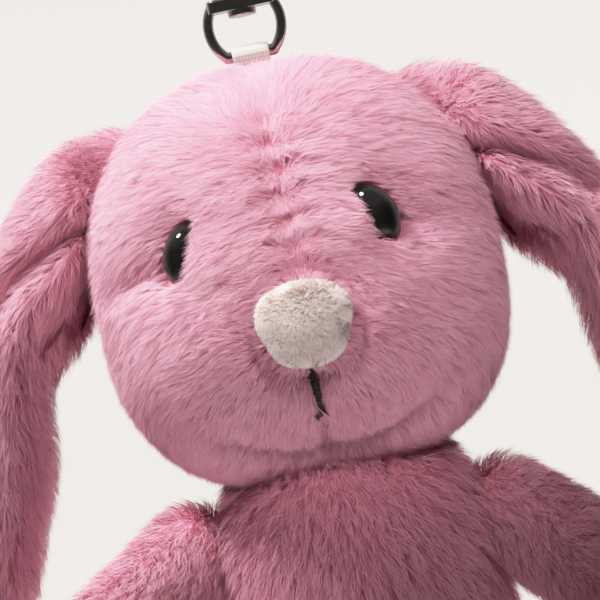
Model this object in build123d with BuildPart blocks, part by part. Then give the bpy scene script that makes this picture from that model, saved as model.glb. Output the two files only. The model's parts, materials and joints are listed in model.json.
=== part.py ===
"""Plush rabbit bag charm hanging from a swivel hook. Millimetres, +Z up.

The origin is the centre of the hook's bow, +X is to the viewer's right when the
face is seen from the front, and the face looks along -Y. The toy hangs below.
"""
import os
from math import asin, cos, radians, sin, sqrt

from build123d import *

os.makedirs("parts", exist_ok=True)

# ---------------------------------------------------------------- driving sizes
RUN_GAP = 0.06            # radial clearance of the metal running fits
SOFT_GAP = 0.4            # space between soft parts that move past each other
SKIN = 2.0                # plush fabric, backing and matted pile together
STUFF_GAP = 0.4           # space between a cover and the filling in it
TOUCH = 0.03              # gap between sewn pieces that lie on each other

# Hook, a die-cast lever clasp
BOW_INNER_R = 4.5
BOW_OUTER_R = 7.2
HOOK_T = 3.0
NOSE_ANGLE = -20          # where the bow ends, above the gate
BASE_TOP_Z = -10.4
BASE_BOTTOM_Z = -14.6
BASE_T = 5.6
BARREL_R = 3.1
BARREL_BOTTOM_Z = -17.0
GATE_PIVOT = (4.7, -12.1)
GATE_T = 2.8
GATE_TIP_Z = -2.75
KNUCKLE_R = 1.6
PIN_R = 0.6

# Swivel eye and its rivet
POST_R = 1.2
BRIDGE_T = 2.2
BRIDGE_W = 4.4
BRIDGE_HALF = 5.6
BRIDGE_BOTTOM_Z = BARREL_BOTTOM_Z - 0.3 - BRIDGE_T
RIVET_R = 2.4
RIVET_T = 1.1
EYE_INNER_H = 6.6
EYE_WIRE_R = 1.0
EYE_HALF_W = 6.05         # to the middle of the wire
BAR_HALF = 3.9
BAR_Z = BRIDGE_BOTTOM_Z - EYE_INNER_H - EYE_WIRE_R

# Tape loop round the bar of the eye
TAPE_HALF_W = 3.1
TAPE_T = 0.5
TAPE_DROP = 7.0

# Head, a ball that is fuller at the cheeks, with a muzzle
TOY_Y = 2.05              # puts the toy's weight under the bar
HEAD_R = 33.5
HEAD_Z = BAR_Z - 36.9
CHEEK_R = 24.0
MUZZLE_R = 16.0
MUZZLE_FORWARD = 21.5
MUZZLE_DROP = 13.0

# Eyes, nose and mouth
EYE_TURN = 31             # degrees off the face's middle
EYE_RISE = 12.6           # degrees above the head's middle
EYE_R = 5.1
EYE_SINK = 0.9
SHANK_R = 1.25
SHANK_LENGTH = 8.0
WASHER_R = 4.5
WASHER_T = 1.2
NOSE_DROP = 8.5
NOSE_LOBE_R = 5.4
NOSE_LOBE_X = 2.6
NOSE_FORWARD = 37.2
THREAD_W = 0.8
MOUTH_TOP = 16.3
MOUTH_BOTTOM = 24.0
MOUTH_SPREAD = 2.3

# Ears, two layers each, hung from the sides of the head's top
EAR_PIVOT = (26.0, 25.0)  # from the head's middle
EAR_ROOT_R = 9.0
EAR_BACK = 2.8            # behind the head's middle
EAR_LAYER_T = 3.9

# Torso, arms, legs and tail, from the head's middle
NECK_DROP = 50.0
NECK_R = 20.5
BELLY_DROP = 67.5
BELLY_R = 25.0
SHOULDER = (23.5, -3.0, -44.5)
PAW = (54.0, -18.0, -67.0)
SHOULDER_R = 8.5
PAW_R = 9.6
HIP = (14.5, -9.0, -85.5)
HIP_R = 9.6
ANKLE = (16.5, -8.5, -123.0)
ANKLE_R = 10.0
SHIN_END_R = 9.3          # the shin runs into the foot's larger heel
TOE = (18.0, -24.0, -125.5)
TOE_R = 11.0
TAIL = (0.0, 28.5, -79.0)
TAIL_R = 9.5
POUCH_R = 11.0

# How far the arms and the legs swing forward, degrees, in the steps that make room
ARM_TURNS = range(-15, 61, 25)
LEG_TURNS = range(0, 76, 15)

SIDES = {"left": -1, "right": 1}   # as the viewer sees the face


def place(point, side=1):
    """A place given from the head's middle, in the model's frame."""
    return Vector(side * point[0], TOY_Y + point[1], HEAD_Z + point[2])


def save(piece, name):
    """Label a finished piece and write its STEP file."""
    piece.part.label = name
    export_step(piece.part, f"parts/{name}.step")


# -------------------------------------------------------------------- soft forms
def tapered_capsule(start, end, start_r, end_r):
    """Two balls and the cone that touches both, from start to end."""
    along = end - start
    slope = asin((start_r - end_r) / along.length)
    touch = Vector(sin(slope), cos(slope))
    bulge = Vector(sin((slope - radians(90)) / 2), cos((slope - radians(90)) / 2))
    round_end = Vector(sin((slope + radians(90)) / 2), cos((slope + radians(90)) / 2))
    far = Vector(along.length, 0)
    across = along.cross(Vector(0, 0, 1) if abs(along.Z) < 0.9 * along.length else Vector(1, 0, 0))
    with BuildPart() as capsule:
        with BuildSketch(Plane(origin=start, x_dir=along, z_dir=across)):
            with BuildLine():
                ThreePointArc((-start_r, 0), bulge * start_r, touch * start_r)
                Line(touch * start_r, far + touch * end_r)
                ThreePointArc(far + touch * end_r, far + round_end * end_r, (along.length + end_r, 0))
                Line((along.length + end_r, 0), (-start_r, 0))
            make_face()
        revolve(axis=Axis(start, along))
    return capsule.part


def head_outline(inset):
    """The head before its hollows: a turned ball with full cheeks, and the muzzle."""
    cheek_z = CHEEK_R - HEAD_R
    cheek_x = HEAD_R - CHEEK_R
    top = HEAD_R - inset
    cheek = CHEEK_R - inset
    middle = place((0, 0, 0))
    with BuildPart() as outline:
        with BuildSketch(Plane(origin=middle, x_dir=(1, 0, 0), z_dir=(0, -1, 0))):
            with BuildLine():
                ThreePointArc((0, top), (top * sin(radians(45)), top * cos(radians(45))), (top, 0))
                Line((top, 0), (top, cheek_z))
                corner = cheek * sin(radians(45))
                ThreePointArc((top, cheek_z), (cheek_x + corner, cheek_z - corner), (cheek_x, -top))
                Line((cheek_x, -top), (0, -top))
                Line((0, -top), (0, top))
            make_face()
        revolve(axis=Axis(middle, (0, 0, 1)))
        with Locations(place((0, -MUZZLE_FORWARD, -MUZZLE_DROP))):
            Sphere(MUZZLE_R - inset)
    return outline.part


def head_form(inset):
    """The head with its hollows for the neck and the ears, inset from its surface."""
    outline = head_outline(inset)
    room = SOFT_GAP + inset
    with BuildPart() as form:
        add(outline)
        with Locations(place((0, 0, -NECK_DROP))):
            Sphere(NECK_R + room, mode=Mode.SUBTRACT)
        for side in SIDES.values():
            with Locations(Plane(place((EAR_PIVOT[0], EAR_BACK, EAR_PIVOT[1]), side), z_dir=(0, 1, 0))):
                Cylinder(EAR_ROOT_R + room, 2 * (EAR_LAYER_T + room), mode=Mode.SUBTRACT)
    return form.part


def limb_room(root, end, root_r, end_r, turns, room):
    """The space a limb takes as it swings forward about its root, made of its positions."""
    swing = Axis((0, 0, 0), (-1, 0, 0))
    places = [root + (end - root).rotate(swing, turn) for turn in turns]
    return [tapered_capsule(root, far, root_r + room, end_r + room) for far in places]


def torso_form(inset):
    """The torso with its hollows for the arms and the legs, inset from its surface."""
    trunk = tapered_capsule(place((0, 0, -NECK_DROP)), place((0, 0, -BELLY_DROP)), NECK_R - inset, BELLY_R - inset)
    room = SOFT_GAP + inset
    limbs = []
    for side in SIDES.values():
        limbs += limb_room(place(SHOULDER, side), place(PAW, side), SHOULDER_R, PAW_R, ARM_TURNS, room)
        limbs += limb_room(place(HIP, side), place(ANKLE, side), HIP_R, ANKLE_R, LEG_TURNS, room)
    with BuildPart() as form:
        add(trunk)
        for limb in limbs:
            add(limb, mode=Mode.SUBTRACT)
    return form.part


def arm_form(side, inset):
    """One arm, from its round shoulder to its paw."""
    return tapered_capsule(place(SHOULDER, side), place(PAW, side), SHOULDER_R - inset, PAW_R - inset)


def leg_form(side, inset):
    """One leg with its foot pointing forward."""
    shin = tapered_capsule(place(HIP, side), place(ANKLE, side), HIP_R - inset, SHIN_END_R - inset)
    foot = tapered_capsule(place(ANKLE, side), place(TOE, side), ANKLE_R - inset, TOE_R - inset)
    with BuildPart() as form:
        add(shin)
        add(foot)
    return form.part


def cover_and_filling(form, name):
    """A sewn cover, and the fibre filling inside it, from a form that takes an inset."""
    outside = form(0)
    inside = form(SKIN)
    stuffing = form(SKIN + STUFF_GAP)
    with BuildPart() as cover:
        add(outside)
        add(inside, mode=Mode.SUBTRACT)
    save(cover, f"{name}_cover")
    with BuildPart() as filling:
        add(stuffing)
    save(filling, f"{name}_filling")


# -------------------------------------------------------------------------- hook
base_middle_z = (BASE_TOP_Z + BASE_BOTTOM_Z) / 2
base_h = BASE_TOP_Z - BASE_BOTTOM_Z
spine_w = BOW_OUTER_R - BOW_INNER_R
pivot_x, pivot_z = GATE_PIVOT
base_right = pivot_x + KNUCKLE_R + 0.5
spring_z = pivot_z - KNUCKLE_R - 0.5

with BuildPart() as hook_body:
    with BuildSketch(Plane.XZ) as bow_profile:
        Circle(BOW_OUTER_R)
        Circle(BOW_INNER_R, mode=Mode.SUBTRACT)
        with BuildLine():
            reach = 2 * BOW_OUTER_R
            nose = Vector(reach * cos(radians(NOSE_ANGLE)), reach * sin(radians(NOSE_ANGLE)))
            Polyline((0, 0), nose, (reach, -reach), (-reach, -reach), (-reach, 0), (0, 0))
        make_face(mode=Mode.SUBTRACT)
        with Locations((-(BOW_INNER_R + spine_w / 2), BASE_BOTTOM_Z / 2)):
            Rectangle(spine_w, -BASE_BOTTOM_Z)
    extrude(amount=HOOK_T / 2, both=True)
    bow_rim = hook_body.edges().filter_by(GeomType.CIRCLE).filter_by(lambda e: e.radius == BOW_OUTER_R)
    fillet(bow_rim, 0.8)
    with Locations(((base_right - BOW_OUTER_R) / 2, 0, base_middle_z)):
        Box(base_right + BOW_OUTER_R, BASE_T, base_h)
    with Locations((0, 0, (BASE_BOTTOM_Z + BARREL_BOTTOM_Z) / 2)):
        Cylinder(BARREL_R, BASE_BOTTOM_Z - BARREL_BOTTOM_Z)
    slot_left = pivot_x - KNUCKLE_R - 0.25
    with Locations(((slot_left + base_right + 1) / 2, 0, (spring_z + BASE_TOP_Z + 1) / 2 + 0.2)):
        Box(base_right + 1 - slot_left, GATE_T + 0.2, BASE_TOP_Z + 1 - spring_z - 0.4, mode=Mode.SUBTRACT)
    with Locations(Plane((pivot_x, 0, pivot_z), z_dir=(0, 1, 0))):
        Cylinder(PIN_R + 0.01, BASE_T + 1, mode=Mode.SUBTRACT)
    with Locations((pivot_x, 0, spring_z - 0.7)):
        Cylinder(1.1, 1.8, mode=Mode.SUBTRACT)
    with Locations((0, 0, BARREL_BOTTOM_Z + 1.6)):
        Cylinder(POST_R + 0.01, 3.4, mode=Mode.SUBTRACT)
save(hook_body, "hook_body")

with BuildPart() as gate_lever:
    with BuildSketch(Plane.XZ):
        with Locations((pivot_x, pivot_z)):
            Circle(KNUCKLE_R)
        with BuildLine():
            Polyline(
                (pivot_x - 0.9, pivot_z),
                (pivot_x - 0.6, GATE_TIP_Z),
                (pivot_x + 1.9, GATE_TIP_Z),
                (pivot_x + 1.9, pivot_z + 4.6),
                (pivot_x + 4.1, pivot_z + 4.2),
                (pivot_x + 4.1, pivot_z + 2.9),
                (pivot_x + KNUCKLE_R, pivot_z),
                (pivot_x - 0.9, pivot_z),
            )
        make_face()
        with Locations((pivot_x, pivot_z)):
            Circle(PIN_R + RUN_GAP, mode=Mode.SUBTRACT)
    extrude(amount=GATE_T / 2, both=True)
save(gate_lever, "gate_lever")

with BuildPart() as gate_pin:
    with Locations(Plane((pivot_x, 0, pivot_z), z_dir=(0, 1, 0))):
        Cylinder(PIN_R, BASE_T)
save(gate_pin, "gate_pin")

SPRING_R = 0.8
SPRING_WIRE_R = 0.17
with BuildPart() as gate_spring:
    for turn in range(4):
        with Locations((pivot_x, 0, spring_z - 1.4 + turn * 1.9 * SPRING_WIRE_R)):
            Torus(SPRING_R, SPRING_WIRE_R)
save(gate_spring, "gate_spring")

# ------------------------------------------------------------------- swivel eye
with BuildPart() as swivel_post:
    with Locations((0, 0, (BARREL_BOTTOM_Z + 3.1 + BRIDGE_BOTTOM_Z - 0.2) / 2)):
        Cylinder(POST_R, BARREL_BOTTOM_Z + 3.1 - BRIDGE_BOTTOM_Z + 0.2)
    with Locations((0, 0, BRIDGE_BOTTOM_Z - 0.12 - RIVET_T / 2)):
        Cylinder(RIVET_R, RIVET_T)
    fillet(swivel_post.edges().group_by(Axis.Z)[0], 0.4)
save(swivel_post, "swivel_post")

with BuildPart() as swivel_eye:
    with Locations((0, 0, BRIDGE_BOTTOM_Z + BRIDGE_T / 2)):
        Box(2 * BRIDGE_HALF, BRIDGE_W, BRIDGE_T)
    fillet(swivel_eye.edges().filter_by(Axis.Z), 1.2)
    fillet(swivel_eye.faces().sort_by(Axis.Z)[-1].edges(), 0.5)
    for side in SIDES.values():
        top_end = (side * (BRIDGE_HALF - 0.7), 0, BRIDGE_BOTTOM_Z + BRIDGE_T / 2)
        widest = (side * EYE_HALF_W, 0, BRIDGE_BOTTOM_Z - 2.2)
        bar_end = (side * BAR_HALF, 0, BAR_Z)
        with BuildLine():
            ThreePointArc(bar_end, widest, top_end)
        with BuildSketch(Plane(bar_end, z_dir=Vector(*widest) - Vector(*bar_end))):
            Circle(EYE_WIRE_R)
        sweep()
        with Locations(bar_end):
            Sphere(EYE_WIRE_R)
    with Locations(Plane((0, 0, BAR_Z), z_dir=(1, 0, 0))):
        Cylinder(EYE_WIRE_R, 2 * BAR_HALF)
    with Locations((0, 0, BRIDGE_BOTTOM_Z + BRIDGE_T / 2)):
        Cylinder(POST_R + RUN_GAP, 2 * BRIDGE_T, mode=Mode.SUBTRACT)
save(swivel_eye, "swivel_eye")

bar_bore_r = EYE_WIRE_R + RUN_GAP
with BuildPart() as hang_loop:
    with BuildSketch(Plane.YZ.offset(-TAPE_HALF_W)):
        with Locations((0, BAR_Z)):
            Circle(bar_bore_r + TAPE_T)
        with Locations((0, BAR_Z - TAPE_DROP / 2)):
            Rectangle(2.4 * TAPE_T, TAPE_DROP)
        with Locations((0, BAR_Z)):
            Circle(bar_bore_r, mode=Mode.SUBTRACT)
    extrude(amount=2 * TAPE_HALF_W)
save(hang_loop, "hang_loop")

# -------------------------------------------------------------------------- head
head_outside = head_form(0)
head_inside = head_form(SKIN)
head_stuffing = head_form(SKIN + STUFF_GAP)
head_middle = place((0, 0, 0))
tape_room = 0.3


def eye_axis(side):
    """The direction one eye looks in."""
    level = cos(radians(EYE_RISE))
    return Vector(side * sin(radians(EYE_TURN)) * level, -cos(radians(EYE_TURN)) * level, sin(radians(EYE_RISE)))


def on_eye_axis(side, distance):
    """A plane across one eye's axis, at a distance from the head's middle."""
    return Plane(head_middle + eye_axis(side) * distance, z_dir=eye_axis(side))


with BuildPart() as head_cover:
    add(head_outside)
    add(head_inside, mode=Mode.SUBTRACT)
    with Locations((0, 0, BAR_Z - TAPE_DROP + 2)):
        Box(2 * (TAPE_HALF_W + tape_room), 2.4 * TAPE_T + 2 * tape_room, 8, mode=Mode.SUBTRACT)
    for side in SIDES.values():
        with Locations(on_eye_axis(side, HEAD_R)):
            Cylinder(SHANK_R + TOUCH, 4 * SKIN, mode=Mode.SUBTRACT)
save(head_cover, "head_cover")

with BuildPart() as head_filling:
    add(head_stuffing)
    with Locations((0, 0, BAR_Z - TAPE_DROP + 2)):
        Box(2 * (TAPE_HALF_W + tape_room), 2.4 * TAPE_T + 2 * tape_room, 6, mode=Mode.SUBTRACT)
    for side in SIDES.values():
        with Locations(on_eye_axis(side, HEAD_R - SKIN - 0.35 - WASHER_T)):
            Cylinder(WASHER_R + 0.4, 2 * WASHER_T + 1, mode=Mode.SUBTRACT)
        with Locations(on_eye_axis(side, HEAD_R - SHANK_LENGTH)):
            Cylinder(SHANK_R + 0.4, SHANK_LENGTH, mode=Mode.SUBTRACT)
save(head_filling, "head_filling")

head_surface = head_outline(-TOUCH)
for name, side in SIDES.items():
    with BuildPart() as toy_eye:
        with Locations(on_eye_axis(side, HEAD_R - EYE_SINK)):
            Sphere(EYE_R)
        add(head_surface, mode=Mode.SUBTRACT)
        with Locations(on_eye_axis(side, HEAD_R + 0.5 - SHANK_LENGTH / 2)):
            Cylinder(SHANK_R, SHANK_LENGTH)
    save(toy_eye, f"{name}_eye")
    with BuildPart() as eye_washer:
        with Locations(on_eye_axis(side, HEAD_R - SKIN - 0.4 - WASHER_T / 2)):
            Cylinder(WASHER_R, WASHER_T)
            Cylinder(SHANK_R + TOUCH, 2 * WASHER_T, mode=Mode.SUBTRACT)
    save(eye_washer, f"{name}_eye_washer")

nose_top_z = 1.5
nose_bottom_z = -2.0
nose_top = tapered_capsule(
    place((-NOSE_LOBE_X, -NOSE_FORWARD, nose_top_z - NOSE_DROP)),
    place((NOSE_LOBE_X, -NOSE_FORWARD, nose_top_z - NOSE_DROP)),
    NOSE_LOBE_R,
    NOSE_LOBE_R,
)
with BuildPart() as nose_pad:
    add(nose_top)
    with Locations(place((0, -NOSE_FORWARD + 0.6, nose_bottom_z - NOSE_DROP))):
        Sphere(NOSE_LOBE_R)
    add(head_surface, mode=Mode.SUBTRACT)
save(nose_pad, "nose_pad")

thread_outside = head_outline(-TOUCH - 0.45)
with BuildPart() as mouth_stitch:
    with BuildSketch(Plane(place((0, 0, 0)), x_dir=(1, 0, 0), z_dir=(0, -1, 0))):
        with Locations((0, -(MOUTH_TOP + MOUTH_BOTTOM) / 2)):
            Rectangle(THREAD_W, MOUTH_BOTTOM - MOUTH_TOP)
        for side in SIDES.values():
            with BuildLine():
                Polyline(
                    (0, -MOUTH_BOTTOM + THREAD_W),
                    (side * MOUTH_SPREAD, -MOUTH_BOTTOM - 1.4),
                    (side * (MOUTH_SPREAD - 0.5), -MOUTH_BOTTOM - 2.0),
                    (0, -MOUTH_BOTTOM - 0.5),
                    (0, -MOUTH_BOTTOM + THREAD_W),
                )
            make_face()
    extrude(amount=2 * HEAD_R)
    add(thread_outside, mode=Mode.INTERSECT)
    add(head_surface, mode=Mode.SUBTRACT)
save(mouth_stitch, "mouth_stitch")

# -------------------------------------------------------------------------- ears
# Points from the head's middle along the ear's lower edge, its tip and its upper edge.
ear_inner_edge = [(35.8, 9.0), (37.0, -2.0), (42.6, -12.0), (45.5, -29.0), (53.5, -49.0)]
ear_tip = [(59.5, -60.5), (66.5, -65.0), (73.0, -59.5)]
ear_outer_edge = [(76.5, -42.0), (71.5, -20.0), (62.0, -4.0), (49.0, 14.0)]


def ear_layer(side, front_y, name):
    """One of the two layers that an ear is sewn from, with its round root."""
    root_leave = Vector(EAR_ROOT_R * cos(radians(-48)), EAR_ROOT_R * sin(radians(-48))) + Vector(*EAR_PIVOT)
    root_return = Vector(EAR_ROOT_R * cos(radians(62)), EAR_ROOT_R * sin(radians(62))) + Vector(*EAR_PIVOT)
    edge = [root_leave] + [Vector(*p) for p in ear_inner_edge + ear_tip + ear_outer_edge] + [root_return]
    with BuildPart() as layer:
        plane = Plane(place((0, front_y, 0)), x_dir=(side, 0, 0), z_dir=(0, -side, 0))
        with BuildSketch(plane):
            with BuildLine():
                Spline(*edge)
                ThreePointArc(root_return, Vector(*EAR_PIVOT) - Vector(EAR_ROOT_R, 0), root_leave)
            make_face()
        extrude(amount=-side * EAR_LAYER_T)
    save(layer, name)


for name, side in SIDES.items():
    ear_layer(side, EAR_BACK - EAR_LAYER_T - TOUCH / 2, f"{name}_ear_lining")
    ear_layer(side, EAR_BACK + TOUCH / 2, f"{name}_ear_back")

# ------------------------------------------------------------------------- torso
torso_outside = torso_form(0)
torso_inside = torso_form(SKIN)
torso_stuffing = torso_form(SKIN + STUFF_GAP)
pouch_middle = place((0, 2.0, -65.0))
with BuildPart() as body_cover:
    add(torso_outside)
    add(torso_inside, mode=Mode.SUBTRACT)
save(body_cover, "body_cover")

with BuildPart() as body_filling:
    add(torso_stuffing)
    with Locations(pouch_middle):
        Sphere(POUCH_R + STUFF_GAP, mode=Mode.SUBTRACT)
save(body_filling, "body_filling")

with BuildPart() as pellet_pouch:
    with Locations(pouch_middle):
        Sphere(POUCH_R)
save(pellet_pouch, "pellet_pouch")

trunk_surface = tapered_capsule(
    place((0, 0, -NECK_DROP)), place((0, 0, -BELLY_DROP)), NECK_R + TOUCH, BELLY_R + TOUCH
)
with BuildPart() as tail:
    with Locations(place(TAIL)):
        Sphere(TAIL_R)
    add(trunk_surface, mode=Mode.SUBTRACT)
save(tail, "tail")

label_h = 14.0
label_w = 9.0
label_t = 0.5
with BuildPart() as care_label:
    with Locations(place((-BELLY_R - 1.2, 9.0, -BELLY_DROP - label_h / 2))):
        Box(label_t, label_w, label_h)
    with Locations(place((-BELLY_R + 0.3, 9.0, -BELLY_DROP - 0.5))):
        Box(3.5, label_w, 1.0)
    add(trunk_surface, mode=Mode.SUBTRACT)
save(care_label, "care_label")

# ------------------------------------------------------------------ arms and legs
for name, side in SIDES.items():
    cover_and_filling(lambda inset, side=side: arm_form(side, inset), f"{name}_arm")
    cover_and_filling(lambda inset, side=side: leg_form(side, inset), f"{name}_leg")
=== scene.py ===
"""Looks of a plush rabbit bag charm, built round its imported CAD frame.

Soft pieces are shaped in millimetres from the head's middle (x to the viewer's right, y away from
the viewer, z up) and brought into the frame, in metres, by to_frame().
"""

import json
import math

import bmesh
import bpy
import numpy as np
from mathutils import Matrix, Vector
from mathutils.kdtree import KDTree


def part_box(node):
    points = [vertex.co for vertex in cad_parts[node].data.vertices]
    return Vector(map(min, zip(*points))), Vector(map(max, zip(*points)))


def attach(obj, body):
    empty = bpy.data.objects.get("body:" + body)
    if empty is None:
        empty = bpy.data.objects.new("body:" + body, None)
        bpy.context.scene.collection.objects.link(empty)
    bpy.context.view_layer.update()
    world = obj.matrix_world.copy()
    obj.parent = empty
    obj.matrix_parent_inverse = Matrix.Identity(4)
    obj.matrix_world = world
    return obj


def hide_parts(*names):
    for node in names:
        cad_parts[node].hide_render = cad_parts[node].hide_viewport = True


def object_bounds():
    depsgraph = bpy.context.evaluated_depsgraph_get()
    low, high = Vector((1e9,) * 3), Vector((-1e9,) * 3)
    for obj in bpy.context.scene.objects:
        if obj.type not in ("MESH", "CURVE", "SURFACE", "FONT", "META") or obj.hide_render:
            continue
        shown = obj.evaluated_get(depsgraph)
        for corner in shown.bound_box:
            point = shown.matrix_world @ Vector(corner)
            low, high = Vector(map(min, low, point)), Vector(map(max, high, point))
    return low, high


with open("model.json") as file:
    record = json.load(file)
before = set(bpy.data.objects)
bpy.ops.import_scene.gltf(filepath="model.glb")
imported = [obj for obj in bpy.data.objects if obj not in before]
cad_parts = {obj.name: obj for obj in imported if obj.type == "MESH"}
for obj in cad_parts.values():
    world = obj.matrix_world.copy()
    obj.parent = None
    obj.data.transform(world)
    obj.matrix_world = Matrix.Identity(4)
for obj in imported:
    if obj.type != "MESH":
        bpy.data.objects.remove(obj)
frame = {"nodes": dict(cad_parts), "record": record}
cad_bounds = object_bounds()

MM = 0.001
JOINTS = {joint["name"]: joint for joint in frame["record"]["behaviour"]["joints"]}

# ------------ places from the frame


def node_box(node):
    """Lowest and highest corner of a CAD node, in metres."""
    low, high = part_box(node)
    return np.array(low), np.array(high)


cover_low, cover_high = node_box("head_cover")
HEAD_R = (cover_high[0] - cover_low[0]) / 2 / MM
HEAD = np.array([0, cover_high[1] - HEAD_R * MM, cover_high[2] - HEAD_R * MM])


def to_frame(points):
    """Millimetres from the head's middle to the frame's metres."""
    return np.asarray(points, float) * MM + HEAD


def from_frame(points):
    """The frame's metres to millimetres from the head's middle."""
    return (np.asarray(points, float) - HEAD) / MM


def joint_place(name):
    """A joint's place, in millimetres from the head's middle."""
    return from_frame(JOINTS[name]["pos_m"])


def mirrored(points, side):
    """Points of the right-hand side, taken to the side asked for."""
    return np.asarray(points, float) * (side, 1, 1)


SIDES = {"left": -1, "right": 1}
NECK = joint_place("neck_nod")
SHOULDER = joint_place("right_arm_swing")
HIP = joint_place("right_leg_swing")
EAR_ROOT = joint_place("right_ear_lift")
PAW_R = 9.6
TOE_R = 11.0
arm_low, arm_high = from_frame(node_box("right_arm_cover"))
leg_low, leg_high = from_frame(node_box("right_leg_cover"))
PAW = np.array([arm_high[0] - PAW_R, arm_low[1] + PAW_R, arm_low[2] + PAW_R])
TOE = np.array([leg_high[0] - TOE_R, leg_low[1] + TOE_R, leg_low[2] + TOE_R])
ANKLE = TOE + (-1.5, 15.5, 2.5)
EYE_TURN = {-1: math.radians(33.4), 1: math.radians(27.4)}
EYE_RISE = math.radians(11.2)
NOSE = np.array([-0.5, -35.2, -8.5])

# ------------ small helpers


def smoothstep(low, high, value):
    t = np.clip((value - low) / (high - low), 0, 1)
    return t * t * (3 - 2 * t)


def unit(vectors):
    return vectors / np.maximum(np.linalg.norm(vectors, axis=-1, keepdims=True), 1e-9)


def waves(points, size, seed):
    """Smooth noise of about -1 to 1 whose features are about size across."""
    rng = np.random.default_rng(seed)
    total = np.zeros(len(points))
    count = 7
    for _ in range(count):
        k = unit(rng.normal(size=3)) * (2 * math.pi / size) * rng.uniform(0.6, 1.4)
        total += np.sin(points @ k + rng.uniform(0, 2 * math.pi))
    return total / math.sqrt(count) / 1.2


def bell(distance, width):
    """1 at no distance, falling smoothly to nothing past width."""
    return np.exp(-((distance / width) ** 2))


def lengths(vectors):
    return np.linalg.norm(vectors, axis=1)


def rows(x, y, z):
    """Vectors whose parts are the arrays or numbers given."""
    return np.stack(np.broadcast_arrays(x, y, z), axis=1).astype(float)


def laid(flow, outward):
    """Directions laid down in the skin that outward stands on."""
    return unit(flow - outward * (flow * outward).sum(axis=1, keepdims=True))


def turned(vectors, axes, angles):
    """Vectors turned about unit axes that are square to them."""
    return vectors * np.cos(angles)[:, None] + np.cross(axes, vectors) * np.sin(angles)[:, None]


def wandering(flow, outward, degrees):
    """A flow laid in the skin, turned aside by degrees."""
    return turned(laid(flow, outward), outward, np.radians(degrees))


def nearest_of(places, points):
    """Which of the places is nearest to each point."""
    tree = KDTree(len(places))
    for index, place in enumerate(places):
        tree.insert(place, index)
    tree.balance()
    return np.array([tree.find(point)[1] for point in points])


def in_scene(name, data):
    """An object of the mesh, light, curve or camera given."""
    obj = bpy.data.objects.new(name, data)
    bpy.context.collection.objects.link(obj)
    return obj


def new_object(name, mesh, material, body):
    """A piece of the model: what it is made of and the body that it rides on."""
    obj = in_scene(name, mesh)
    mesh.materials.append(material)
    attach(obj, body)
    return obj


def mesh_from(name, points, faces):
    mesh = bpy.data.meshes.new(name)
    mesh.from_pydata([tuple(p) for p in points], [], faces)
    return mesh


def move_points(mesh, points):
    """Puts a mesh's points at places in millimetres from the head's middle."""
    mesh.vertices.foreach_set("co", to_frame(points).astype(np.float32).ravel())
    mesh.update()


def revolved(profile, steps):
    """Rings of points: a profile of (radius, height) turned about the z axis."""
    angles = np.arange(steps) * 2 * math.pi / steps
    return [(r * math.cos(a), r * math.sin(a), height) for r, height in profile for a in angles]


def ring_faces(rings, steps, closed=False):
    """Faces between rings of points; closed also caps both ends."""
    faces = []
    for ring in range(rings - 1):
        for step in range(steps):
            after = (step + 1) % steps
            here, above = ring * steps, (ring + 1) * steps
            faces.append((here + step, here + after, above + after, above + step))
    if closed:
        faces.append(tuple(range(steps)))
        faces.append(tuple(reversed(range((rings - 1) * steps, rings * steps))))
    return faces


def outward_faces(mesh, weld=False):
    """Turns a closed mesh's faces outward, and welds points that coincide."""
    made = bmesh.new()
    made.from_mesh(mesh)
    if weld:
        bmesh.ops.remove_doubles(made, verts=made.verts, dist=1e-7)
    bmesh.ops.recalc_face_normals(made, faces=made.faces)
    made.to_mesh(mesh)
    made.free()
    mesh.shade_smooth()


def applied(obj):
    """The object's mesh with its modifiers applied."""
    depsgraph = bpy.context.evaluated_depsgraph_get()
    mesh = bpy.data.meshes.new_from_object(obj.evaluated_get(depsgraph))
    old = obj.data
    obj.modifiers.clear()
    obj.data = mesh
    bpy.data.meshes.remove(old)
    return mesh


def threes(items, key, kind=np.float32):
    """Three numbers of each point or triangle of a mesh."""
    values = np.empty(len(items) * 3, kind)
    items.foreach_get(key, values)
    return values.reshape(-1, 3)


def read_surface(mesh):
    """Points, normals and triangles of a mesh, in millimetres from the head's middle."""
    mesh.calc_loop_triangles()
    normals = threes(mesh.vertices, "normal").astype(float)
    triangles = threes(mesh.loop_triangles, "vertices", np.int32)
    return from_frame(threes(mesh.vertices, "co")), normals, triangles


# ------------ materials


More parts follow.
